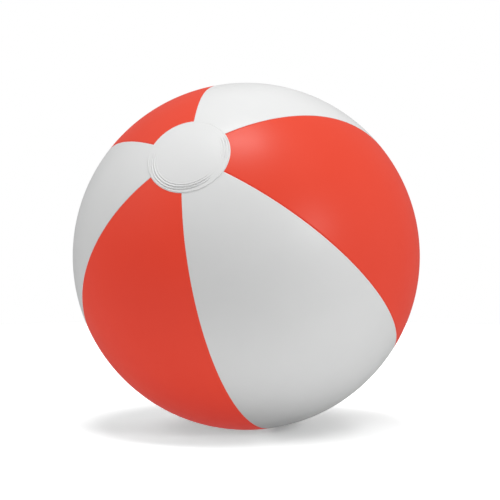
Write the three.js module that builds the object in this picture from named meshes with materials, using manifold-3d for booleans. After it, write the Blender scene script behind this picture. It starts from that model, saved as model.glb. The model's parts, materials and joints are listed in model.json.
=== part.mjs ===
// Inflatable beach ball, millimetres, +Z up.
// Six film gores, three red and three white, run from end disc to end disc. The white edges lie on
// top of the red ones in narrow lap welds. A push-in valve sits in one red gore, stowed flush.
// The origin is the middle of the small flat where the ball rests on the ground.

import * as THREE from 'three';
import { LoftGeometry } from 'three/addons/geometries/LoftGeometry.js';
import { mergeVertices } from 'three/addons/utils/BufferGeometryUtils.js';
import Module from 'manifold-3d';

const wasm = await Module();
wasm.setup();

// Driving dimensions
const RADIUS = 130; // inflated ball, outside of the film
const FILM = 0.3; // film thickness
const GAP = 0.3; // clearance between pieces that touch
const FLAT_RADIUS = 13; // contact flat pressed into the film by the ball's weight
const LAP = 4; // width of a red edge tucked under its white neighbour
const STEP_WIDTH = 1.2; // width of the step where a red edge drops under the white film

// How the ball lies: its pole axis leans over, then turns about the vertical
const POLE_TILT = 52.9;
const POLE_TURN = -115.5;

// Longitudes of the six hand-laid seams about the pole axis, in degrees from the lowest meridian
const SEAMS = [12.2, 72.2, 133.8, 189.9, 248.6, 309.3];

// End discs
const TIP_HOLE = 9; // radius left open where the gore tips meet, under each disc
const DISC_ANGLE = 14.06; // half-angle of a disc, seen from the ball's centre
const DISC_THICKNESS = 0.35;
const DISC_SHIFT = 1.28; // the front disc is welded on a little off the pole
const DISC_SHIFT_LONGITUDE = 110.8;
const WELD_RINGS = [3.8, 5.7, 7.4]; // distances of the weld ridges from the disc's rim
const RING_HALF_WIDTH = 0.7;
const RING_HEIGHT = 0.3;

// Valve, in its own frame: +Z points out of the ball and zero is the film's outside
const VALVE_POLAR = 75; // angle from the front pole
const VALVE_LONGITUDE = (SEAMS[3] + SEAMS[4]) / 2;
const VALVE_HOLE = 8.6;
const FLANGE_INNER = 8;
const FLANGE_OUTER = 14;
const FLANGE_THICKNESS = 0.6;
const SKIRT_WALL = 0.5;
const SKIRT_TOP = 0.1;
const SKIRT_WAIST = -5;
const SKIRT_BOTTOM = -11.6;
const BORE = 2.7;
const STEM_RADIUS = 4.4;
const STEM_LIP = 4.8;
const LIP_HEIGHT = 0.6;
const LIP_TAPER = 0.3;
const LIP_BEVEL = 0.2;
const STEM_COLLAR = 5.2;
const COLLAR_HEIGHT = 1;
const COLLAR_TAPER = 0.4;
const STEM_TOP = -1.6;
const STEM_BOTTOM = -12.5;
const PLUG_RADIUS = 5.3;
const PLUG_TOP = 0.2;
const PLUG_UNDER = STEM_TOP + GAP;
const PLUG_BEVEL = 0.3;
const SPIGOT_ROOT = 2.4;
const SPIGOT_TIP = 1.6;
const SPIGOT_END = -3.8;
const PLUG_HINGE = -6.05; // the strap bends here, level with the plug's top
const STRAP_WIDTH = 3;
const STRAP_FOOT = -3.4;
const STRAP_TOP = -0.8;
const STRAP_THICKNESS = 0.55;
const TAB_REACH = 6.6;
const TAB_THICKNESS = 0.7;
const TAB_DROP = 0.1; // the tab lies this far below the plug's top
const LUG_REACH = 6.3;
const LUG_THICKNESS = 0.55;
const ROOT_OVERLAP = 0.6; // how far tab and lug run into the head
const FLAP_RADIUS = 3.9;
const FLAP_THICKNESS = 0.4;
const TONGUE_REACH = 4.6;
const TONGUE_ROOT = 2.9;
const TONGUE_WIDTH = 2;

// Facets. The rows and columns through the ground flat are closer, as angles from its middle
const ROW_COUNT = 24;
const COLUMN_COUNT = 8;
const FLAT_ROWS = [-4.6, -1.8, 1.2, 4.6];
const FLAT_COLUMNS = [-4.6, -1, 2.2, 4.8];
const CLEAR_OF_FLAT = 9; // no other row or column comes closer than this
const DISC_SEGMENTS = 32;
const DISC_TOP_ARCS = [8, 15, 20]; // distances from the disc's middle where its facets meet
const DISC_UNDER_ARCS = [24, 16, 8, 0];
const VALVE_SEGMENTS = 24;
const MERGE_DISTANCE = 1e-4; // corners closer than this are one corner

const FLATTENING = RADIUS - Math.sqrt(RADIUS ** 2 - FLAT_RADIUS ** 2);
const CENTRE_HEIGHT = RADIUS - FLATTENING;

const red = film(0xe2503e);
const white = film(0xeeeeec);
const clear = film(0xdfe6e6);

function film(color) {
  return new THREE.MeshStandardMaterial({ color, roughness: 0.35, metalness: 0 });
}

function radians(degrees) {
  return THREE.MathUtils.degToRad(degrees);
}

// A rotation that tilts +Z over by `polar` and then turns it to `longitude`
function aim(polar, longitude) {
  return new THREE.Euler(0, radians(polar), radians(longitude), 'ZYX');
}

function pointAt(polar, longitude, distance) {
  return new THREE.Vector3(0, 0, distance).applyEuler(aim(polar, longitude));
}

// Closed three.js geometry to a solid: shared corners are merged and flat triangles dropped
function solidOf(geometry) {
  const bare = new THREE.BufferGeometry();
  bare.setAttribute('position', geometry.getAttribute('position'));
  bare.setIndex(geometry.index);
  const merged = mergeVertices(bare, MERGE_DISTANCE);
  const corners = merged.index.array;
  const kept = [];
  for (let i = 0; i < corners.length; i += 3) {
    const [a, b, c] = [corners[i], corners[i + 1], corners[i + 2]];
    if (a !== b && b !== c && c !== a) kept.push(a, b, c);
  }
  const vertProperties = Float32Array.from(merged.attributes.position.array);
  const mesh = new wasm.Mesh({ numProp: 3, vertProperties, triVerts: Uint32Array.from(kept) });
  return new wasm.Manifold(mesh);
}

function geometryOf(solid) {
  const mesh = solid.getMesh();
  const geometry = new THREE.BufferGeometry();
  geometry.setAttribute('position', new THREE.BufferAttribute(mesh.vertProperties.slice(), 3));
  geometry.setIndex(new THREE.BufferAttribute(mesh.triVerts.slice(), 1));
  geometry.computeVertexNormals();
  return geometry;
}

function piece(name, geometry, material) {
  const mesh = new THREE.Mesh(geometry, material);
  mesh.name = name;
  return mesh;
}

// A profile of [radius, height] points turned about +Z
function turned(profile, segments) {
  const points = profile.map(([radius, height]) => new THREE.Vector2(radius, height));
  return new THREE.LatheGeometry(points, segments).rotateX(Math.PI / 2);
}

// The same, closed on itself, for a profile that stays off the axis
function ring(profile, segments) {
  return turned([...profile, profile[0]], segments);
}

// Height of the ball's outside above the film at the middle of a fitting, `radius` off its axis
function sag(radius) {
  return Math.sqrt(RADIUS ** 2 - radius ** 2) - RADIUS;
}

// ---- Gores -------------------------------------------------------------------------------

const GROUND_POLAR = 180 - POLE_TILT;
const DOWN = pointAt(GROUND_POLAR, 0, 1);
const TIP_ANGLE = THREE.MathUtils.radToDeg(Math.asin(TIP_HOLE / RADIUS));

// Polar angles of the facet rows, from the back tip of a gore to the front one
function rows() {
  const step = (180 - 2 * TIP_ANGLE) / ROW_COUNT;
  const even = Array.from({ length: ROW_COUNT + 1 }, (_, i) => TIP_ANGLE + i * step);
  const apart = even.filter((polar) => Math.abs(polar - GROUND_POLAR) > CLEAR_OF_FLAT);
  return [...apart, ...FLAT_ROWS.map((offset) => GROUND_POLAR + offset)].sort((a, b) => b - a);
}

// Positions of the facet columns across a gore, from 0 at one seam to 1 at the other
function columns(from, to) {
  const even = Array.from({ length: COLUMN_COUNT + 1 }, (_, i) => i / COLUMN_COUNT);
  if (from > 0 && to < 360) return even;
  const ground = (360 - from) / (to - from);
  const spread = (to - from) * Math.sin(radians(GROUND_POLAR));
  const apart = even.filter((share) => Math.abs(share - ground) * spread > CLEAR_OF_FLAT || share === 1);
  const near = FLAT_COLUMNS.map((offset) => ground + offset / spread);
  return [...apart, ...near].sort((a, b) => a - b);
}

// A point of the film, `depth` below the outside, pressed in where it would pass the ground
function filmPoint(polar, longitude, depth) {
  const direction = pointAt(polar, longitude, 1);
  const downward = direction.dot(DOWN);
  const sphere = RADIUS - depth;
  const ground = downward > 0 ? (CENTRE_HEIGHT - depth) / downward : sphere;
  return direction.multiplyScalar(Math.min(sphere, ground));
}

// Longitudes of the two lines that run `inset` inside a gore's seams, where `polar` crosses them
function linesBeside(from, to, inset, polar) {
  const turn = THREE.MathUtils.radToDeg(Math.asin(inset / (RADIUS * Math.sin(radians(polar)))));
  return [from + turn, to - turn];
}

function across([left, right], shares) {
  return shares.map((share) => left + (right - left) * share);
}

// White film lies on top. It has an extra column over the end of each lap.
function whiteSection(from, to, polar) {
  const edges = linesBeside(from, to, GAP / 2, polar);
  const overLaps = linesBeside(from, to, LAP, polar);
  const inner = across(overLaps, columns(from, to));
  const longitudes = [edges[0], ...inner, edges[1]];
  const outside = longitudes.map((longitude) => filmPoint(polar, longitude, 0));
  const inside = longitudes.map((longitude) => filmPoint(polar, longitude, FILM));
  return [...outside, ...inside.reverse()];
}

// Red film steps down at both edges and runs on as a lap under its white neighbours
function redSection(from, to, polar) {
  const top = FILM + GAP;
  const bottom = 2 * FILM + GAP;
  const faces = linesBeside(from, to, GAP / 2, polar);
  const steps = linesBeside(from, to, GAP / 2 + STEP_WIDTH, polar);
  const laps = linesBeside(from, to, -LAP, polar);
  const shares = columns(from, to);
  const at = (longitude, depth) => filmPoint(polar, longitude, depth);
  return [
    at(laps[0], top),
    at(faces[0], top),
    ...across(faces, shares).map((longitude) => at(longitude, 0)),
    at(faces[1], top),
    at(laps[1], top),
    at(laps[1], bottom),
    at(steps[1], bottom),
    ...across(steps, shares).map((longitude) => at(longitude, FILM)).reverse(),
    at(steps[0], bottom),
    at(laps[0], bottom),
  ];
}

// A section pinched flat, each point meeting the one across the film: it closes the gore's tip
function pinched(section) {
  return section.map((point, i) => point.clone().lerp(section[section.length - 1 - i], 0.5));
}

function gore(section, from, to) {
  const sections = rows().map((polar) => section(from, to, polar));
  return new LoftGeometry([pinched(sections[0]), ...sections, pinched(sections.at(-1))]);
}

function valveHole() {
  const hole = new THREE.CylinderGeometry(VALVE_HOLE, VALVE_HOLE, RADIUS / 2, VALVE_SEGMENTS);
  hole.rotateX(Math.PI / 2).translate(0, 0, RADIUS);
  const turn = new THREE.Matrix4().makeRotationFromEuler(aim(VALVE_POLAR, VALVE_LONGITUDE));
  return solidOf(hole.applyMatrix4(turn));
}

function gores() {
  const names = [
    'white_panel_front',
    'red_panel_right',
    'white_panel_top',
    'red_panel_valve',
    'white_panel_left',
    'red_panel_base',
  ];
  return names.map((name, i) => {
    const from = SEAMS[i];
    const to = i + 1 < SEAMS.length ? SEAMS[i + 1] : SEAMS[0] + 360;
    const isRed = name.startsWith('red');
    let solid = solidOf(gore(isRed ? redSection : whiteSection, from, to));
    if (name === 'red_panel_valve') solid = solid.subtract(valveHole());
    return piece(name, geometryOf(solid), isRed ? red : white);
  });
}

// ---- End discs ---------------------------------------------------------------------------

// A round film disc that follows the ball, with raised concentric weld ridges near its rim
function endDisc(name) {
  const rim = RADIUS * radians(DISC_ANGLE);
  const under = RADIUS + GAP;
  const over = under + DISC_THICKNESS;
  const at = (arc, radius) => [radius * Math.sin(arc / RADIUS), radius * Math.cos(arc / RADIUS)];
  const top = [at(0, over)];
  for (const arc of DISC_TOP_ARCS) top.push(at(arc, over));
  for (const distance of [...WELD_RINGS].reverse()) {
    const crest = rim - distance;
    top.push(at(crest - RING_HALF_WIDTH, over));
    top.push(at(crest, over + RING_HEIGHT));
    top.push(at(crest + RING_HALF_WIDTH, over));
  }
  top.push(at(rim, over));
  const bottom = [at(rim, under)];
  for (const arc of DISC_UNDER_ARCS) bottom.push(at(arc, under));
  const profile = [...top, ...bottom].reverse();
  return piece(name, geometryOf(solidOf(turned(profile, DISC_SEGMENTS))), white);
}

function endDiscs() {
  const front = endDisc('front_end_disc');
  front.rotation.copy(aim(DISC_SHIFT, DISC_SHIFT_LONGITUDE));
  const back = endDisc('back_end_disc');
  back.rotation.copy(aim(180, 0));
  return [front, back];
}

// ---- Valve -------------------------------------------------------------------------------

function valveFlange() {
  const middle = (FLANGE_INNER + FLANGE_OUTER) / 2;
  const edge = FLANGE_THICKNESS / 2;
  const profile = [
    [FLANGE_INNER, sag(FLANGE_INNER) + GAP],
    [middle, sag(middle) + GAP],
    [FLANGE_OUTER, sag(FLANGE_OUTER) + GAP],
    [FLANGE_OUTER, sag(FLANGE_OUTER) + GAP + edge],
    [FLANGE_OUTER - edge, sag(FLANGE_OUTER) + GAP + FLANGE_THICKNESS],
    [middle, sag(middle) + GAP + FLANGE_THICKNESS],
    [FLANGE_INNER + edge, sag(FLANGE_INNER) + GAP + FLANGE_THICKNESS],
    [FLANGE_INNER, sag(FLANGE_INNER) + GAP + edge],
  ];
  return piece('valve_flange', geometryOf(solidOf(ring(profile, VALVE_SEGMENTS))), clear);
}

// The soft wall between flange and stem, folded into the ball while the valve is stowed
function valveSkirt() {
  const top = FLANGE_INNER - GAP;
  const bottom = STEM_COLLAR + GAP + SKIRT_WALL;
  const profile = [
    [bottom, SKIRT_BOTTOM],
    [top - GAP, SKIRT_WAIST],
    [top, SKIRT_TOP],
    [top - SKIRT_WALL, SKIRT_TOP],
    [top - GAP - SKIRT_WALL, SKIRT_WAIST],
    [bottom - SKIRT_WALL, SKIRT_BOTTOM],
  ];
  return piece('valve_skirt', geometryOf(solidOf(ring(profile, VALVE_SEGMENTS))), clear);
}

function valveStem() {
  const profile = [
    [BORE, STEM_BOTTOM],
    [STEM_COLLAR, STEM_BOTTOM],
    [STEM_COLLAR, STEM_BOTTOM + COLLAR_HEIGHT],
    [STEM_RADIUS, STEM_BOTTOM + COLLAR_HEIGHT + COLLAR_TAPER],
    [STEM_RADIUS, STEM_TOP - LIP_HEIGHT - LIP_TAPER],
    [STEM_LIP, STEM_TOP - LIP_HEIGHT],
    [STEM_LIP, STEM_TOP - LIP_BEVEL],
    [STEM_LIP - LIP_BEVEL, STEM_TOP],
    [BORE, STEM_TOP],
  ];
  return piece('valve_stem', geometryOf(solidOf(ring(profile, VALVE_SEGMENTS))), clear);
}

// An L-shaped strip from the stem's side up to where it bends behind the plug
function plugStrap() {
  const back = PLUG_HINGE - STRAP_THICKNESS / 2;
  const front = PLUG_HINGE + STRAP_THICKNESS / 2;
  const shape = new THREE.Shape([
    new THREE.Vector2(back, STRAP_FOOT),
    new THREE.Vector2(-STEM_RADIUS - GAP, STRAP_FOOT),
    new THREE.Vector2(-STEM_RADIUS - GAP, STRAP_FOOT + STRAP_THICKNESS),
    new THREE.Vector2(front, STRAP_FOOT + STRAP_THICKNESS),
    new THREE.Vector2(front, STRAP_TOP),
    new THREE.Vector2(back, STRAP_TOP),
  ]);
  const strip = new THREE.ExtrudeGeometry(shape, { depth: STRAP_WIDTH, bevelEnabled: false });
  strip.rotateX(Math.PI / 2).translate(0, STRAP_WIDTH / 2, 0);
  return piece('plug_strap', geometryOf(solidOf(strip)), clear);
}

// A box between two corners
function block(low, high) {
  const size = high.map((value, i) => value - low[i]);
  const middle = high.map((value, i) => (value + low[i]) / 2);
  return solidOf(new THREE.BoxGeometry(...size).translate(...middle));
}

function valvePlug() {
  const head = turned(
    [
      [0, SPIGOT_END],
      [SPIGOT_TIP, SPIGOT_END],
      [SPIGOT_ROOT, STEM_TOP],
      [SPIGOT_ROOT, PLUG_UNDER],
      [PLUG_RADIUS - PLUG_BEVEL, PLUG_UNDER],
      [PLUG_RADIUS, PLUG_UNDER + PLUG_BEVEL],
      [PLUG_RADIUS, PLUG_TOP - PLUG_BEVEL],
      [PLUG_RADIUS - PLUG_BEVEL, PLUG_TOP],
      [0, PLUG_TOP],
    ],
    VALVE_SEGMENTS,
  );
  const half = STRAP_WIDTH / 2;
  const root = PLUG_RADIUS - ROOT_OVERLAP;
  const lug = block([-LUG_REACH, -half, PLUG_TOP - LUG_THICKNESS], [-root, half, PLUG_TOP]);
  const tabTop = PLUG_TOP - TAB_DROP;
  const tab = block([root, -half, tabTop - TAB_THICKNESS], [TAB_REACH, half, tabTop]);
  return piece('valve_plug', geometryOf(solidOf(head).add(lug).add(tab)), clear);
}

// The thin disc that closes the stem's inner end, with a tongue where it bends
function checkFlap() {
  const top = STEM_BOTTOM - GAP;
  const disc = new THREE.CylinderGeometry(FLAP_RADIUS, FLAP_RADIUS, FLAP_THICKNESS, VALVE_SEGMENTS);
  disc.rotateX(Math.PI / 2).translate(0, 0, top - FLAP_THICKNESS / 2);
  const half = TONGUE_WIDTH / 2;
  const tongue = block([-TONGUE_REACH, -half, top - FLAP_THICKNESS], [-TONGUE_ROOT, half, top]);
  return piece('check_flap', geometryOf(solidOf(disc).add(tongue)), clear);
}

function valve() {
  const fitting = new THREE.Group();
  fitting.position.copy(pointAt(VALVE_POLAR, VALVE_LONGITUDE, RADIUS));
  fitting.rotation.copy(aim(VALVE_POLAR, VALVE_LONGITUDE));
  fitting.add(valveFlange(), valveSkirt(), valveStem(), plugStrap(), valvePlug(), checkFlap());
  return fitting;
}

// ---- Assembly ----------------------------------------------------------------------------

const ball = new THREE.Group();
ball.add(...gores(), ...endDiscs(), valve());
ball.position.z = CENTRE_HEIGHT;
ball.rotation.copy(aim(POLE_TILT, POLE_TURN));

const group = new THREE.Group();
group.add(ball);

export default group;
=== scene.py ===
import json
import math

import bmesh
import bpy
import numpy as np
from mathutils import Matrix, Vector

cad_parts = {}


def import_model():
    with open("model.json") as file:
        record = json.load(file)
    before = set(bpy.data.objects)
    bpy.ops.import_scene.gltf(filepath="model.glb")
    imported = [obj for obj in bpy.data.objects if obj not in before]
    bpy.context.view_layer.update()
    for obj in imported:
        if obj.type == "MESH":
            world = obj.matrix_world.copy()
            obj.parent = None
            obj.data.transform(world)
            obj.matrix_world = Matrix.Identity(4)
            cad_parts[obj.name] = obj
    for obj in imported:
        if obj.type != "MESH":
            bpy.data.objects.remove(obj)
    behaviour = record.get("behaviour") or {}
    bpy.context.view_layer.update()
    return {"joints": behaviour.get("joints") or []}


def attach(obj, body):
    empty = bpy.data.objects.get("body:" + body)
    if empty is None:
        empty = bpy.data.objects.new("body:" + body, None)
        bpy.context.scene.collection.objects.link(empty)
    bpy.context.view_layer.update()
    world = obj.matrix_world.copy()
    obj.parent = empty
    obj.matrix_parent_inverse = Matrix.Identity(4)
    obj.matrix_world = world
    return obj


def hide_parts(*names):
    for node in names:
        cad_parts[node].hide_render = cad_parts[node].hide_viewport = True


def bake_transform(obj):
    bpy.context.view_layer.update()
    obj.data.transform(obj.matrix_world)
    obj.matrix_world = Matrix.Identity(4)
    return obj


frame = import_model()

# An inflatable beach ball: six welded film panels, two end discs and a stowed push-in valve.
# Lengths are in metres, and angles in degrees. Profiles of small parts are in millimetres.

MM = 0.001

# ---- The ball, as the CAD model has it -----------------------------------------------------

RADIUS = 130 * MM
FILM = 0.3 * MM
FLAT_RADIUS = 13 * MM  # the flat that the ball rests on
CENTRE = np.array([0, 0, math.sqrt(RADIUS**2 - FLAT_RADIUS**2)])
LAP = 4 * MM  # a red film runs on this far under its white neighbour
TIP_HOLE = 9 * MM  # left open where the panels' tips meet, under each disc
DISC_ANGLE = 14.055  # half of the angle a disc takes up, seen from the centre
DISC_FILM = 0.35 * MM

# How the ball lies: its pole leans over, then turns about the vertical
POLE_TILT = 52.9
POLE_TURN = -115.5

# The seams' longitudes about the pole, and each panel's name and CAD node, from the first seam on
SEAMS = [12.2, 72.2, 133.8, 189.9, 248.6, 309.3]
PANELS = [
    ("white_film_front", "white_panel_front"),
    ("red_film_right", "red_panel_right"),
    ("white_film_top", "white_panel_top"),
    ("red_film_valve", "red_panel_valve"),
    ("white_film_left", "white_panel_left"),
    ("red_film_base", "red_panel_base"),
]

# ---- Detail that the CAD model leaves out --------------------------------------------------

TOUCH = 0.02 * MM  # air left between two films that lie on each other
STEP_WIDTH = 1.3 * MM  # a red edge dips under its white neighbour over this width
EDGE_ROUND = 0.14 * MM  # rounding of a cut edge
ROLL_DROP = 0.11 * MM  # a white edge is pressed down towards its cut over this width
ROLL_WIDTH = 0.9 * MM
WELD_SINK = 0.03 * MM  # the welded strip beside an edge is pressed thinner
WELD_START = 0.5 * MM
WELD_END = 3.7 * MM
WELD_FADE = 0.8 * MM
CREASE_SOFTNESS = 0.1 * MM  # how gently the film turns into the ground flat
LEAST_DOWN = 0.1  # each direction counts as pointing at least this far down, so that it meets the ground

# Two seams are laid a little off their meridians: where they cross, at what slope, over what width
STRAYS = {133.8: (47, 0.08, 40), 189.9: (26.7, 0.235, 35)}

MARGIN_WIDTH = 1.5 * MM  # the disc's edge rolls down over this width
MARGIN_DROP = 0.3 * MM
RIM_BEAD_OFFSET = 0.8 * MM  # a fine ridge runs round just inside the edge
RIM_BEAD_WIDTH = 0.35 * MM
RIM_BEAD_HEIGHT = 0.28 * MM
# The weld rings: each one's radius, and its share of the full height
WELD_RINGS = [(28.1 * MM, 1.0), (26.2 * MM, 0.8), (24.5 * MM, 0.25)]
RING_WIDTH = 0.42 * MM
RING_HEIGHT = 0.42 * MM
GROOVE_OFFSET = 0.9 * MM  # each ridge has a groove pressed on both sides
GROOVE_WIDTH = 0.34 * MM
GROOVE_DEPTH = 0.28 * MM
# How much of a ring shows: everywhere, where the die pressed deep, and where it pressed faintly
RING_TRACE = 0.06
DEEP_SHARE = 0.94
DEEP_FADE = 24
FAINT_SHARE = 0.5
FAINT_FADE = 12

PANEL_ROWS = 200
PANEL_COLUMNS = 44
EDGE_STEPS = 5
DISC_SEGMENTS = 288
DISC_PLAIN = 0.68  # share of a disc's radius that is plain, and so needs few rows
DISC_PLAIN_ROWS = 24
DISC_RINGED_ROWS = 96
DISC_LAST_ROW = 0.99  # share of the radius where the rows give way to the rounded edge
ROUND_SEGMENTS = 96
SHARP_ANGLE = 40  # faces that meet at more than this keep a crisp edge


# ---- Vectors and frames --------------------------------------------------------------------


def turn_y(angle):
    c, s = math.cos(math.radians(angle)), math.sin(math.radians(angle))
    return np.array([[c, 0, s], [0, 1, 0], [-s, 0, c]])


def turn_z(angle):
    c, s = math.cos(math.radians(angle)), math.sin(math.radians(angle))
    return np.array([[c, -s, 0], [s, c, 0], [0, 0, 1]])


BALL = turn_z(POLE_TURN) @ turn_y(POLE_TILT)


def directions(polar, longitude):
    """Unit vectors about the +Z of some frame, from angles in radians."""
    sine = np.sin(polar)
    return np.stack([sine * np.cos(longitude), sine * np.sin(longitude), np.cos(polar)], -1)


def placed(outward, heights):
    """World points on those directions, `heights` above the ball's outside, kept off the ground."""
    reach = RADIUS + heights
    down = np.maximum(-outward[..., 2], LEAST_DOWN)
    ground = (CENTRE[2] + np.minimum(heights, 0)) / down
    soft = CREASE_SOFTNESS
    kept = np.minimum(reach, ground) - soft * np.log1p(np.exp(-np.abs(reach - ground) / soft))
    return CENTRE + outward * kept[..., None]


def smooth(value, start, end):
    share = np.clip((value - start) / (end - start), 0, 1)
    return share * share * (3 - 2 * share)


def hump(value, middle, width):
    return np.exp(-(((value - middle) / width) ** 2))


# ---- Meshes --------------------------------------------------------------------------------


def mesh_object(name, points, faces, material):
    """A piece from points and faces, with its faces turned outward and its sharp edges kept crisp."""
    mesh = bpy.data.meshes.new(name)
    mesh.from_pydata([tuple(p) for p in points], [], faces)
    shell = bmesh.new()
    shell.from_mesh(mesh)
    bmesh.ops.recalc_face_normals(shell, faces=shell.faces)
    shell.to_mesh(mesh)
    shell.free()
    mesh.shade_smooth()
    mesh.set_sharp_from_angle(angle=math.radians(SHARP_ANGLE))
    mesh.materials.append(material)
    piece = bpy.data.objects.new(name, mesh)
    bpy.context.scene.collection.objects.link(piece)
    return piece


def grid_faces(rows, columns, first, closed=False):
    """Quads over a grid of points numbered row by row from `first`."""
    faces = []
    for r in range(rows - 1):
        for c in range(columns if closed else columns - 1):
            a = first + r * columns + c
            b = first + r * columns + (c + 1) % columns
            faces.append((a, a + columns, b + columns, b))
    return faces


def film_patch(name, outside, inside, material):
    """A closed piece of film between two grids of points of the same shape."""
    rows, columns, _ = outside.shape
    half = rows * columns
    faces = grid_faces(rows, columns, 0) + grid_faces(rows, columns, half)
    # The corners round the grid, in order
    around = list(range(columns - 1))
    around += [r * columns + columns - 1 for r in range(rows - 1)]
    around += [(rows - 1) * columns + c for c in range(columns - 1, 0, -1)]
    around += [r * columns for r in range(rows - 1, 0, -1)]
    for a, b in zip(around, around[1:] + around[:1]):
        faces.append((a, b, b + half, a + half))
    points = np.concatenate([outside.reshape(-1, 3), inside.reshape(-1, 3)])
    return mesh_object(name, points, faces, material)


def cap_patch(name, top, under, material):
    """A closed round cap between two grids whose rows go out from the middle, the first being one point."""
    rows, columns, _ = top.shape
    half = (rows - 1) * columns + 1
    points = []
    faces = []
    for first, grid in ((0, top), (half, under)):
        points += [grid[0, 0], *grid[1:].reshape(-1, 3)]
        faces += [(first, first + 1 + c, first + 1 + (c + 1) % columns) for c in range(columns)]
        faces += grid_faces(rows - 1, columns, first + 1, closed=True)
    rim = 1 + (rows - 2) * columns
    for c in range(columns):
        d = (c + 1) % columns
        faces.append((rim + c, rim + c + half, rim + d + half, rim + d))
    return mesh_object(name, points, faces, material)


# ---- Materials -----------------------------------------------------------------------------


NOISE_LOW = 0.3
NOISE_HIGH = 0.7


class Nodes:
    """A short way to add nodes to a material and link them."""

    def __init__(self, name):
        self.material = bpy.data.materials.new(name)
        self.material.use_nodes = True
        self.tree = self.material.node_tree
        self.tree.nodes.clear()
        self.shader = self.tree.nodes.new("ShaderNodeBsdfPrincipled")
        output = self.tree.nodes.new("ShaderNodeOutputMaterial")
        self.link(self.shader.outputs[0], output.inputs["Surface"])
        place = self.tree.nodes.new("ShaderNodeTexCoord")
        self.place = place.outputs["Object"]

    def link(self, output, socket):
        self.tree.links.new(output, socket)

    def noise(self, size, detail=2):
        """Noise between 0 and 1 whose lumps are about `size` across, in metres."""
        node = self.tree.nodes.new("ShaderNodeTexNoise")
        node.inputs["Scale"].default_value = 1 / size
        node.inputs["Detail"].default_value = detail
        self.link(self.place, node.inputs["Vector"])
        return node.outputs["Fac"]

    def between(self, factor, low, high):
        """A value from `low` to `high`, as a noise goes across the range that it mostly keeps to."""
        node = self.tree.nodes.new("ShaderNodeMapRange")
        node.inputs["From Min"].default_value = NOISE_LOW
        node.inputs["From Max"].default_value = NOISE_HIGH
        node.inputs["To Min"].default_value = low
        node.inputs["To Max"].default_value = high
        self.link(factor, node.inputs["Value"])
        return node.outputs["Result"]

    def tint(self, factor, first, second):
        """A colour between two, as the factor goes from 0 to 1."""
        node = self.tree.nodes.new("ShaderNodeMix")
        node.data_type = "RGBA"
        node.inputs["A"].default_value = (*first, 1)
        node.inputs["B"].default_value = (*second, 1)
        self.link(factor, node.inputs["Factor"])
        return node.outputs["Result"]

    def bump(self, height, distance, under=None):
        """Relief of up to `distance` metres from a height between 0 and 1."""
        node = self.tree.nodes.new("ShaderNodeBump")
        node.inputs["Distance"].default_value = distance
        self.link(height, node.inputs["Height"])
        if under is not None:
            self.link(under, node.inputs["Normal"])
        return node.outputs["Normal"]

    def set(self, **values):
        for socket, value in values.items():
            self.shader.inputs[socket.replace("_", " ")].default_value = value


def film_material(name, light, dark, roughness, painted_glow):
    """Satin vinyl film: faint clouding, uneven gloss, slow waves and a fine calendered grain. Its emission
    colour is a painted glow, even all round and with no lamp behind it, that lightens the film, shade
    included."""
    nodes = Nodes(name)
    clouds = nodes.between(nodes.noise(size=60 * MM, detail=3), low=0, high=1)
    nodes.link(nodes.tint(clouds, light, dark), nodes.shader.inputs["Base Color"])
    patches = nodes.noise(size=22 * MM, detail=4)
    gloss = nodes.between(patches, low=roughness - 0.03, high=roughness + 0.04)
    nodes.link(gloss, nodes.shader.inputs["Roughness"])
    waves = nodes.bump(nodes.noise(size=28 * MM, detail=1), distance=0.12 * MM)
    grain = nodes.bump(nodes.noise(size=0.9 * MM, detail=2), distance=0.012 * MM, under=waves)
    nodes.link(grain, nodes.shader.inputs["Normal"])
    # The emission is a painted glow: it lightens the film evenly, its shaded side too
    nodes.set(IOR=1.53, Specular_IOR_Level=0.2, Emission_Color=(*painted_glow, 1), Emission_Strength=1)
    return nodes.material


FILM_ROUGHNESS = 0.36
RED = film_material(
    "red_vinyl",
    light=(0.45, 0.068, 0.036),
    dark=(0.44, 0.066, 0.035),
    roughness=FILM_ROUGHNESS,
    # The red film's painted glow: an even red emission that lifts its shade
    painted_glow=(0.345, 0, 0),
)
WHITE = film_material(
    "white_vinyl",
    light=(0.727, 0.73, 0.728),
    dark=(0.707, 0.711, 0.709),
    roughness=FILM_ROUGHNESS,
    painted_glow=(0, 0, 0),
)


def clear_material():
    """Soft clear vinyl, a little cloudy."""
    nodes = Nodes("clear_vinyl")
    gloss = nodes.between(nodes.noise(size=4 * MM, detail=3), low=0.16, high=0.26)
    nodes.link(gloss, nodes.shader.inputs["Roughness"])
    haze = nodes.between(nodes.noise(size=3 * MM, detail=2), low=0.5, high=0.62)
    nodes.link(haze, nodes.shader.inputs["Transmission Weight"])
    grain = nodes.bump(nodes.noise(size=0.5 * MM, detail=2), distance=0.01 * MM)
    nodes.link(grain, nodes.shader.inputs["Normal"])
    nodes.set(Base_Color=(0.86, 0.89, 0.89, 1), IOR=1.5)
    return nodes.material


CLEAR = clear_material()


# ---- Panels --------------------------------------------------------------------------------


def stray(seam, polar):
    """How far a seam runs off its meridian, in radians of longitude. It crosses the meridian at an angle
    from the pole, at a slope in millimetres per degree, and comes back to it over a width in degrees."""
    if seam not in STRAYS:
        return 0
    crossing, slope, width = STRAYS[seam]
    along = np.degrees(polar) - crossing
    return slope * MM * along * hump(along, 0, width) / (RADIUS * np.sin(polar))


def rounded_start(first):
    """Distances and heights across a cut edge that starts `first` inside the seam."""
    turn = np.radians(np.linspace(0, 90, EDGE_STEPS))
    return first + EDGE_ROUND * (1 - np.cos(turn)), EDGE_ROUND * (np.sin(turn) - 1)


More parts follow.
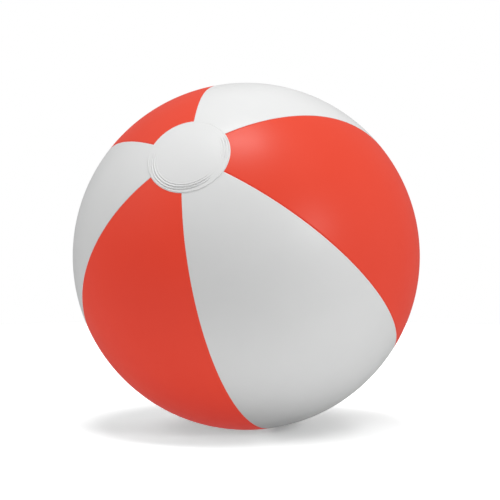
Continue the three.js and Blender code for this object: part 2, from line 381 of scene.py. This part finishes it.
def white_edge():
    """Distances inside the seam, and the film's height there, for the film that lies on top."""
    start, rounding = rounded_start(TOUCH)
    inner = np.array([0.25, 0.35, 0.5, 0.65, 0.8, 1.0, 1.5, 2.2, 2.9, 3.3, 3.7, 4.2]) * MM
    distance = np.concatenate([start, inner])
    height = np.concatenate([rounding, np.zeros(len(inner))])
    rolled = 1 - smooth(distance, 0, ROLL_WIDTH)
    pressed = smooth(distance, WELD_START, WELD_START + WELD_FADE)
    pressed *= 1 - smooth(distance, WELD_END - WELD_FADE, WELD_END)
    return distance, height - ROLL_DROP * rolled - WELD_SINK * pressed


def red_edge():
    """The same for the film that steps down and runs on under its neighbour as a lap."""
    under = np.array([-LAP, -0.98 * LAP, -0.5 * LAP])
    stepping = np.array([-0.6, -0.2, 0, 0.2, 0.4, 0.6, 0.8, 1.0, 1.2, 1.4, 2, 3, 4.2]) * MM
    distance = np.concatenate([under, stepping])
    return distance, -(FILM + TOUCH) * (1 - smooth(distance, 0, STEP_WIDTH))


def panel(name, node, start, end, edge, material):
    """One gore from tip to tip, as a closed piece of film with both its edges shaped."""
    tip = math.asin(TIP_HOLE / RADIUS)
    polar = np.linspace(tip, math.pi - tip, PANEL_ROWS + 1)[:, None]
    distance, height = edge
    turns = distance / (RADIUS * np.sin(polar))
    left = math.radians(start) + stray(start, polar) + turns
    right = math.radians(end) + stray(end % 360, polar) - turns[:, ::-1]
    share = np.linspace(0, 1, PANEL_COLUMNS + 1)[1:-1]
    middle = left[:, -1:] + (right[:, :1] - left[:, -1:]) * share
    longitude = np.concatenate([left, middle, right], 1)
    heights = np.concatenate([height, np.zeros(len(share)), height[::-1]])
    outward = directions(np.broadcast_to(polar, longitude.shape), longitude) @ BALL.T
    heights = np.broadcast_to(heights, longitude.shape)
    piece = film_patch(name, placed(outward, heights), placed(outward, heights - FILM), material)
    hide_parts(node)
    return piece


def panels():
    pieces = {}
    for i, (name, node) in enumerate(PANELS):
        start, end = SEAMS[i], SEAMS[(i + 1) % len(SEAMS)]
        if end < start:
            end += 360
        is_red = name.startswith("red")
        edge = red_edge() if is_red else white_edge()
        pieces[name] = panel(name, node, start, end, edge, RED if is_red else WHITE)
    return pieces


# ---- End discs -----------------------------------------------------------------------------


def turn_box(turn, start, end, fade):
    """1 between two turns in degrees, fading to 0 over `fade` outside them."""
    middle, half = (start + end) / 2, (end - start) / 2
    off = np.abs((np.degrees(turn) - middle + 180) % 360 - 180)
    return 1 - smooth(off, half, half + fade)


def weld_rings(off, strength):
    """Relief of the concentric ridges, each between two grooves, at a distance from their centre."""
    relief = np.zeros(off.shape)
    for radius, share in WELD_RINGS:
        relief += share * RING_HEIGHT * hump(off, radius, RING_WIDTH)
        for side in (-1, 1):
            relief -= share * GROOVE_DEPTH * hump(off, radius + side * GROOVE_OFFSET, GROOVE_WIDTH)
    return relief * strength


def disc(name, node, tilt, oval, ring_shift, deep, faint):
    """A round film cap. `tilt` and `ring_shift` say how far, in degrees, and which way it sits off the
    pole and its weld rings off its own centre. `oval` says how much longer its rim is, and which way, and
    `deep` and `faint` between which turns the rings are pressed deep and faintly."""
    polar, longitude = tilt
    own = BALL @ turn_z(longitude) @ turn_y(polar) @ turn_z(-longitude)
    turn = np.linspace(0, 2 * math.pi, DISC_SEGMENTS, endpoint=False)
    rim = RADIUS * np.radians(DISC_ANGLE + oval[0] * np.cos(2 * (turn - math.radians(oval[1]))))
    plain = np.linspace(0, DISC_PLAIN, DISC_PLAIN_ROWS)
    ringed = np.linspace(DISC_PLAIN, DISC_LAST_ROW, DISC_RINGED_ROWS)
    share = np.concatenate([plain, ringed[1:]])
    edge, rounding = rounded_start(0)
    arc = np.concatenate([share[:, None] * rim, rim - edge[::-1, None]])
    x, y = arc * np.cos(turn), arc * np.sin(turn)
    shift, way = RADIUS * math.radians(ring_shift[0]), math.radians(ring_shift[1])
    off = np.hypot(x - shift * math.cos(way), y - shift * math.sin(way))
    strength = RING_TRACE + DEEP_SHARE * turn_box(turn, *deep, DEEP_FADE)
    strength += FAINT_SHARE * turn_box(turn, *faint, FAINT_FADE)
    height = DISC_FILM + TOUCH + weld_rings(off, strength)
    height -= MARGIN_DROP * (1 - smooth(rim - arc, 0, MARGIN_WIDTH))
    height += RIM_BEAD_HEIGHT * hump(rim - arc, RIM_BEAD_OFFSET, RIM_BEAD_WIDTH)
    height[-len(edge):] += rounding[::-1, None]
    outward = directions(arc / RADIUS, np.broadcast_to(turn, arc.shape)) @ own.T
    under = np.full(arc.shape, TOUCH)
    piece = cap_patch(name, placed(outward, height), placed(outward, under), WHITE)
    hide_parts(node)
    return piece


# ---- Valve ---------------------------------------------------------------------------------


def joint(name):
    return next(j for j in frame["joints"] if j["name"] == name)


# The valve's own frame: +Z points out of the ball, and zero is the film's outside
VALVE_OUT = np.array(joint("stem_pull")["axis"])
VALVE_SIDE = -np.array(joint("plug_swing")["axis"])
VALVE = np.stack([np.cross(VALVE_SIDE, VALVE_OUT), VALVE_SIDE, VALVE_OUT], 1)
VALVE_MIDDLE = CENTRE + RADIUS * VALVE_OUT
PLUG_HINGE = (np.array(joint("plug_swing")["pos_m"]) - VALVE_MIDDLE) @ VALVE


def in_valve(points):
    return VALVE_MIDDLE + np.asarray(points) @ VALVE.T


def sag(radius):
    """Height of the ball's outside, `radius` from the valve's axis."""
    return math.sqrt(RADIUS**2 - radius**2) - RADIUS


CORNER_POINTS = 5
LONGEST_CUT = 0.45  # a corner's curve takes no more than this share of a side


def softened(profile, cut):
    """A closed outline, in millimetres, with each corner replaced by a short curve."""
    points = [np.array(p, float) for p in profile]
    outline = []
    for i, corner in enumerate(points):
        before, after = points[i - 1], points[(i + 1) % len(points)]
        ends = []
        for other in (before, after):
            length = np.linalg.norm(other - corner)
            ends.append(corner + (other - corner) * min(cut / length, LONGEST_CUT))
        for t in np.linspace(0, 1, CORNER_POINTS):
            outline.append((1 - t) ** 2 * ends[0] + 2 * t * (1 - t) * corner + t**2 * ends[1])
    return outline


def turned_ring(name, outline):
    """An outline of (radius, height) in millimetres, closed on itself and turned about the valve's axis."""
    turn = np.linspace(0, 2 * math.pi, ROUND_SEGMENTS, endpoint=False)
    rows = [[(r * math.cos(t), r * math.sin(t), z) for t in turn] for r, z in outline]
    grid = np.array(rows) * MM
    count = len(rows)
    faces = []
    for r in range(count):
        e = (r + 1) % count
        for c in range(ROUND_SEGMENTS):
            d = (c + 1) % ROUND_SEGMENTS
            corners = ((r, c), (e, c), (e, d), (r, d))
            faces.append(tuple(row * ROUND_SEGMENTS + column for row, column in corners))
    return mesh_object(name, in_valve(grid.reshape(-1, 3)), faces, CLEAR)


def finish_valve_piece(piece, node, body=None):
    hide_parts(node)
    if body:
        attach(piece, body)
    return piece


def valve_flange():
    """The round foot welded to the panel, with three fine ribs pressed into it."""
    inner, outer, thick = 8.0, 14.0, 0.6
    ribs, rib_height, rib_width = (9.7, 11.1, 12.5), 0.16, 0.22
    outer_bevel, inner_bevel = 0.25, 0.3
    outer_inset, outer_rise, inner_inset, inner_rise = 0.06, 0.45, 0.08, 0.5

    def at(radius, height, outward=0):
        """A point at a height above the film, then moved level by `outward`."""
        return radius + outward, sag(radius * MM) / MM + height

    under = [at(radius, TOUCH / MM) for radius in np.linspace(inner, outer, 7)]
    top = []
    for radius in np.linspace(outer - outer_bevel, inner + inner_bevel, 60):
        relief = sum(rib_height * hump(radius, rib, rib_width) for rib in ribs)
        top.append(at(radius, thick + relief))
    edge = [at(outer, outer_bevel), at(outer, outer_rise, outward=-outer_inset)]
    lip = [at(inner, inner_rise, outward=inner_inset), at(inner, inner_bevel)]
    piece = turned_ring("valve_foot", under + edge + top + lip)
    return finish_valve_piece(piece, "valve_flange", "ball")


def valve_skirt():
    """The soft wall that lets the stem sink into the ball. Its inner end stops just short of the stem's
    collar, as in the CAD model."""
    wall, top, bottom, mouth, roll = 0.5, -0.35, -11.6, 7.45, 0.56
    waist, taper, ripple, ripple_rate = 0.25, 1.45, 0.06, 9
    line = []
    for turn in np.radians(np.linspace(90, 10, 9)):
        line.append((mouth + roll * (1 - math.cos(turn)), top + roll * math.sin(turn)))
    for t in np.linspace(0, 1, 40):
        narrowing = waist * smooth(t, 0, 0.45) + taper * smooth(t, 0.4, 1)
        line.append((mouth - narrowing + ripple * math.sin(ripple_rate * t), top + (bottom - top) * t))
    line = np.array(line)
    along = np.gradient(line, axis=0)
    along /= np.linalg.norm(along, axis=1)[:, None]
    across = np.stack([-along[:, 1], along[:, 0]], 1) * wall / 2
    outline = [tuple(p) for p in np.concatenate([line + across, (line - across)[::-1]])]
    piece = turned_ring("valve_skirt_wall", outline)
    start, end = in_valve([[0, 0, top * MM], [0, 0, bottom * MM]])
    tuple(start)
    tuple(end)
    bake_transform(piece)
    return finish_valve_piece(piece, "valve_skirt")


def valve_stem():
    """The tube one blows into, with a rolled lip, two mould lines and a collar at its inner end."""
    bore, body, lip, collar, top, bottom = 2.7, 4.4, 4.8, 5.2, -1.6, -12.5
    collar_height, collar_taper, lip_height, lip_taper = 1, 0.4, 0.6, 0.4
    mould_lines, line_height, line_width = (-7, -5), 0.12, 0.25
    collar_top = bottom + collar_height
    collar_end = collar_top + collar_taper
    foot = softened([(bore, bottom), (collar, bottom), (collar, collar_top), (body, collar_end)], 0.3)
    rise = [(body, collar_end + 0.2)]
    for z in np.linspace(-9, -3.4, 48):
        rise.append((body + line_height * sum(hump(z, line, line_width) for line in mould_lines), z))
    lip_low = top - lip_height
    head = softened([(body, lip_low - lip_taper), (lip, lip_low), (lip, top), (bore, top)], 0.25)
    # The curves at the collar's end and at the lip's start give way to the straight run between them
    outline = foot[:-CORNER_POINTS] + rise + head[CORNER_POINTS:]
    return finish_valve_piece(turned_ring("valve_stem_tube", outline), "valve_stem", "stem")


def polar_cap(name, reach, core, rings, top, under):
    """A flat piece whose outline is `reach` at each turn, between two heights, all in millimetres. Its
    points lie on circles up to the radius `core`, and from there on follow the outline. `rings` says how
    many rows of points each part has."""
    turn = np.linspace(0, 2 * math.pi, ROUND_SEGMENTS, endpoint=False)
    rim = np.array([reach(math.degrees(t)) for t in turn])
    circles = np.linspace(0, core, rings[0])[:, None] * np.ones(ROUND_SEGMENTS)
    outer = core + np.linspace(0, 1, rings[1])[1:, None] * (rim - core)
    radius = np.concatenate([circles, outer])
    x, y = radius * np.cos(turn), radius * np.sin(turn)
    grids = []
    for height in (top, under):
        grids.append(in_valve(np.stack([x, y, height(radius, rim - radius, x)], -1) * MM))
    return cap_patch(name, *grids, CLEAR)


def valve_plug():
    """The stopper: a dished head, a tapered spigot, a ribbed pull tab and the lug its strap hangs on."""
    head, over, below, edge = 5.3, 0.2, -1.3, 0.28
    tab_reach, lug_reach = 1.3, 1.15
    ribs, rib_height, rib_width = (5.3, 5.75, 6.2), 0.1, 0.13
    dish_depth, tab_drop, spigot_length, spigot_bead, rim_thinning = 0.28, 0.12, 2.5, 0.1, 0.95

    def reach(turn):
        side = min(turn, 360 - turn)
        tab = tab_reach * (1 - smooth(side, 10, 17))
        lug = lug_reach * (1 - smooth(180 - side, 15, 20))
        return head + tab + lug

    def rounding(to_rim):
        return edge - np.sqrt(np.maximum(edge**2 - np.clip(edge - to_rim, 0, edge) ** 2, 0))

    def top(radius, to_rim, x):
        dish = dish_depth * (1 - smooth(radius, 2.9, 3.9))
        drop = tab_drop * smooth(x, 4.9, head)
        ribbing = rib_height * sum(hump(x, rib, rib_width) for rib in ribs) * smooth(to_rim, 0.05, 0.3)
        return over - dish - drop + ribbing - rounding(to_rim)

    def under(radius, to_rim, x):
        spigot = spigot_length * (1 - smooth(radius, 1.55, 2.45)) + spigot_bead * hump(radius, 2.1, 0.2)
        thin = rim_thinning * smooth(radius, head - 0.35, head - 0.05)
        return below - spigot + thin + np.minimum(rounding(to_rim), 0.18)

    piece = polar_cap("valve_stopper", reach, core=4.5, rings=(52, 48), top=top, under=under)
    return finish_valve_piece(piece, "valve_plug", "plug")


def check_flap():
    """The thin disc inside the ball that air pressure lays against the stem's end."""
    rim, tongue, over, below = 3.9, 0.7, -12.82, -13.2
    seat_depth, seat_radius, bevel, bevel_width = 0.1, 3.1, 0.08, 0.12

    def reach(turn):
        return rim + tongue * (1 - smooth(abs(180 - turn), 9, 15))

    def top(radius, to_rim, x):
        return over - bevel * (1 - smooth(to_rim, 0, bevel_width))

    def under(radius, to_rim, x):
        seat = seat_depth * hump(radius, seat_radius, 0.3)
        return below + seat + bevel * (1 - smooth(to_rim, 0, bevel_width))

    piece = polar_cap("valve_check_disc", reach, core=3.5, rings=(24, 12), top=top, under=under)
    return finish_valve_piece(piece, "check_flap", "flap")


def plug_strap():
    """The strip that keeps the plug on the stem. It bends just behind the plug."""
    hinge = PLUG_HINGE[0] / MM
    half_width, half_thick, side, foot, top, bend = 1.5, 0.26, -4.42, -3.68, -0.37, 0.45
    run = [(side + (hinge - side) * t, foot) for t in np.linspace(0, 0.75, 8)]
    corner = np.radians(np.linspace(-90, -180, 9))
    run += [(hinge + bend + bend * math.cos(t), foot + bend + bend * math.sin(t)) for t in corner]
    run += [(hinge, z) for z in np.linspace(foot + bend + 0.1, top, 34)]
    line = np.array(run)
    along = np.gradient(line, axis=0)
    along /= np.linalg.norm(along, axis=1)[:, None]
    normal = np.stack([-along[:, 1], along[:, 0]], 1)
    low_side = [(-half_thick, -half_width), (half_thick, -half_width)]
    high_side = [(half_thick, half_width), (-half_thick, half_width)]
    section = softened(low_side + high_side, 0.12)
    rows = []
    for middle, out in zip(line, normal):
        rows.append([(middle[0] + out[0] * a, b, middle[1] + out[1] * a) for a, b in section])
    count = len(section)
    faces = grid_faces(len(rows), count, 0, closed=True)
    faces += [tuple(range(count)), tuple(range((len(rows) - 1) * count, len(rows) * count))]
    points = in_valve(np.array(rows).reshape(-1, 3) * MM)
    piece = mesh_object("valve_strap", points, faces, CLEAR)
    start, end = in_valve([[hinge * MM, 0, -1.6 * MM], [hinge * MM, 0, top * MM]])
    tuple(start)
    tuple(end)
    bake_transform(piece)
    return finish_valve_piece(piece, "plug_strap")


def cut_valve_hole(piece):
    """Opens the panel under the flange for the skirt."""
    radius, depth = 8.3, 4.0
    outline = [(radius, -depth), (radius, depth)]
    turn = np.linspace(0, 2 * math.pi, ROUND_SEGMENTS, endpoint=False)
    rows = [[(r * math.cos(t), r * math.sin(t), z) for t in turn] for r, z in outline]
    faces = grid_faces(2, ROUND_SEGMENTS, 0, closed=True)
    faces += [tuple(range(ROUND_SEGMENTS)), tuple(range(ROUND_SEGMENTS, 2 * ROUND_SEGMENTS))]
    cutter = mesh_object("hole_cutter", in_valve(np.array(rows).reshape(-1, 3) * MM), faces, RED)
    hole = piece.modifiers.new("hole", "BOOLEAN")
    hole.operation = "DIFFERENCE"
    hole.object = cutter
    made = piece.evaluated_get(bpy.context.evaluated_depsgraph_get())
    cut = bpy.data.meshes.new_from_object(made)
    piece.modifiers.clear()
    piece.data = cut
    bpy.data.objects.remove(cutter)


# ---- Stage, light and camera ---------------------------------------------------------------


def facing(azimuth, elevation):
    """A unit vector towards a place round the ball: azimuth 0 is the front, 90 the right."""
    a, e = math.radians(azimuth), math.radians(elevation)
    return np.array([math.sin(a) * math.cos(e), -math.cos(a) * math.cos(e), math.sin(e)])


def aimed(obj, place, target):
    obj.location = place
    obj.rotation_euler = (Vector(target) - Vector(place)).to_track_quat("-Z", "Y").to_euler()
    bpy.context.scene.collection.objects.link(obj)


def softbox(name, azimuth, elevation, size, power, shines=False):
    """A round soft light aimed at the ball. Only one that `shines` shows as a highlight in the vinyl."""
    light = bpy.data.lights.new(name, "AREA")
    light.shape = "DISK"
    light.size = size
    light.energy = power
    lamp = bpy.data.objects.new(name, light)
    lamp.visible_camera = False
    lamp.visible_glossy = shines
    aimed(lamp, CENTRE + facing(azimuth, elevation) * LIGHT_DISTANCE, CENTRE)


def world(ambient):
    """White behind everything, and a softer even light on the ball."""
    sky = bpy.data.worlds.new("studio")
    sky.use_nodes = True
    tree = sky.node_tree
    tree.nodes.clear()
    output = tree.nodes.new("ShaderNodeOutputWorld")
    seen = tree.nodes.new("ShaderNodeBackground")
    lit = tree.nodes.new("ShaderNodeBackground")
    path = tree.nodes.new("ShaderNodeLightPath")
    mix = tree.nodes.new("ShaderNodeMixShader")
    seen.inputs["Color"].default_value = (1, 1, 1, 1)
    lit.inputs["Color"].default_value = (1, 1, 1, 1)
    lit.inputs["Strength"].default_value = ambient
    tree.links.new(path.outputs["Is Camera Ray"], mix.inputs["Fac"])
    tree.links.new(lit.outputs[0], mix.inputs[1])
    tree.links.new(seen.outputs[0], mix.inputs[2])
    tree.links.new(mix.outputs[0], output.inputs["Surface"])
    bpy.context.scene.world = sky


LIGHT_DISTANCE = 2.2
FLOOR_RADIUS = 0.8
FLOOR_BOUNCE = 0.8  # how white the table top is to the ball
FLOOR_GLOW = 0.09  # how much it glows there
FLOOR_SEEN = 1.5  # how white it is to the camera, which sees it almost burnt out, as the backdrop


def floor():
    """A wide pale table top, a hair under the ball's flat."""
    turn = np.linspace(0, 2 * math.pi, ROUND_SEGMENTS, endpoint=False)
    rim = [(FLOOR_RADIUS * math.cos(t), FLOOR_RADIUS * math.sin(t), 0) for t in turn]
    mesh = bpy.data.meshes.new("table_top")
    mesh.from_pydata(rim, [], [range(ROUND_SEGMENTS)])
    top = bpy.data.objects.new("table_top", mesh)
    top.location.z = -TOUCH
    top.visible_glossy = False
    nodes = Nodes("table_white")
    gloss = nodes.between(nodes.noise(size=200 * MM), low=0.5, high=0.6)
    nodes.link(gloss, nodes.shader.inputs["Roughness"])
    seen = nodes.tree.nodes.new("ShaderNodeLightPath").outputs["Is Camera Ray"]
    shade = nodes.tint(seen, [FLOOR_BOUNCE] * 3, [FLOOR_SEEN] * 3)
    glow = nodes.tint(seen, [FLOOR_GLOW] * 3, [0] * 3)
    nodes.link(shade, nodes.shader.inputs["Base Color"])
    nodes.link(glow, nodes.shader.inputs["Emission Color"])
    nodes.set(Specular_IOR_Level=0, Emission_Strength=1)
    mesh.materials.append(nodes.material)
    bpy.context.scene.collection.objects.link(top)


def camera():
    """Looks at the ball from the front, a little from above."""
    elevation, distance = 4, 12.5 * RADIUS
    lens = bpy.data.cameras.new("camera")
    lens.sensor_width = 36
    lens.lens = 155.75
    lens.shift_x = 0.00745
    lens.shift_y = 0.0127
    eye = bpy.data.objects.new("camera", lens)
    aimed(eye, CENTRE + facing(0, elevation) * distance, CENTRE)
    bpy.context.scene.camera = eye


# ---- Assembly ------------------------------------------------------------------------------

films = panels()
cut_valve_hole(films["red_film_valve"])
films["front_disc"] = disc(
    "white_disc_front",
    "front_end_disc",
    tilt=(1.28, 110.8),
    oval=(0.588, -127.4),
    ring_shift=(0.46, 65),
    deep=(-74, 36),
    faint=(92, 120),
)
films["back_disc"] = disc(
    "white_disc_back",
    "back_end_disc",
    tilt=(180, 0),
    oval=(0.1, 40),
    ring_shift=(0.25, 200),
    deep=(60, 230),
    faint=(270, 330),
)
for name, film in films.items():
    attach(film, "ball")
    film.visible_diffuse = not name.startswith("red")  # no red tint on the table
valve_flange()
valve_skirt()
valve_stem()
valve_plug()
plug_strap()
check_flap()

bpy.context.scene.view_settings.view_transform = "Standard"
world(ambient=0.216)
# Each light's azimuth, elevation, size in metres and power in watts
softbox("overhead", -20, 82, 1.0, 22.4, shines=True)
softbox("front_right", 46, 20, 0.62, 10.2, shines=True)
softbox("upper_right", 60, 65, 1.4, 15.8)
softbox("right", 92, 4, 2.4, 10)
softbox("left", -85, 30, 2.0, 11.6)
softbox("back_left", -110, 45, 1.4, 7.4)
floor()
camera()
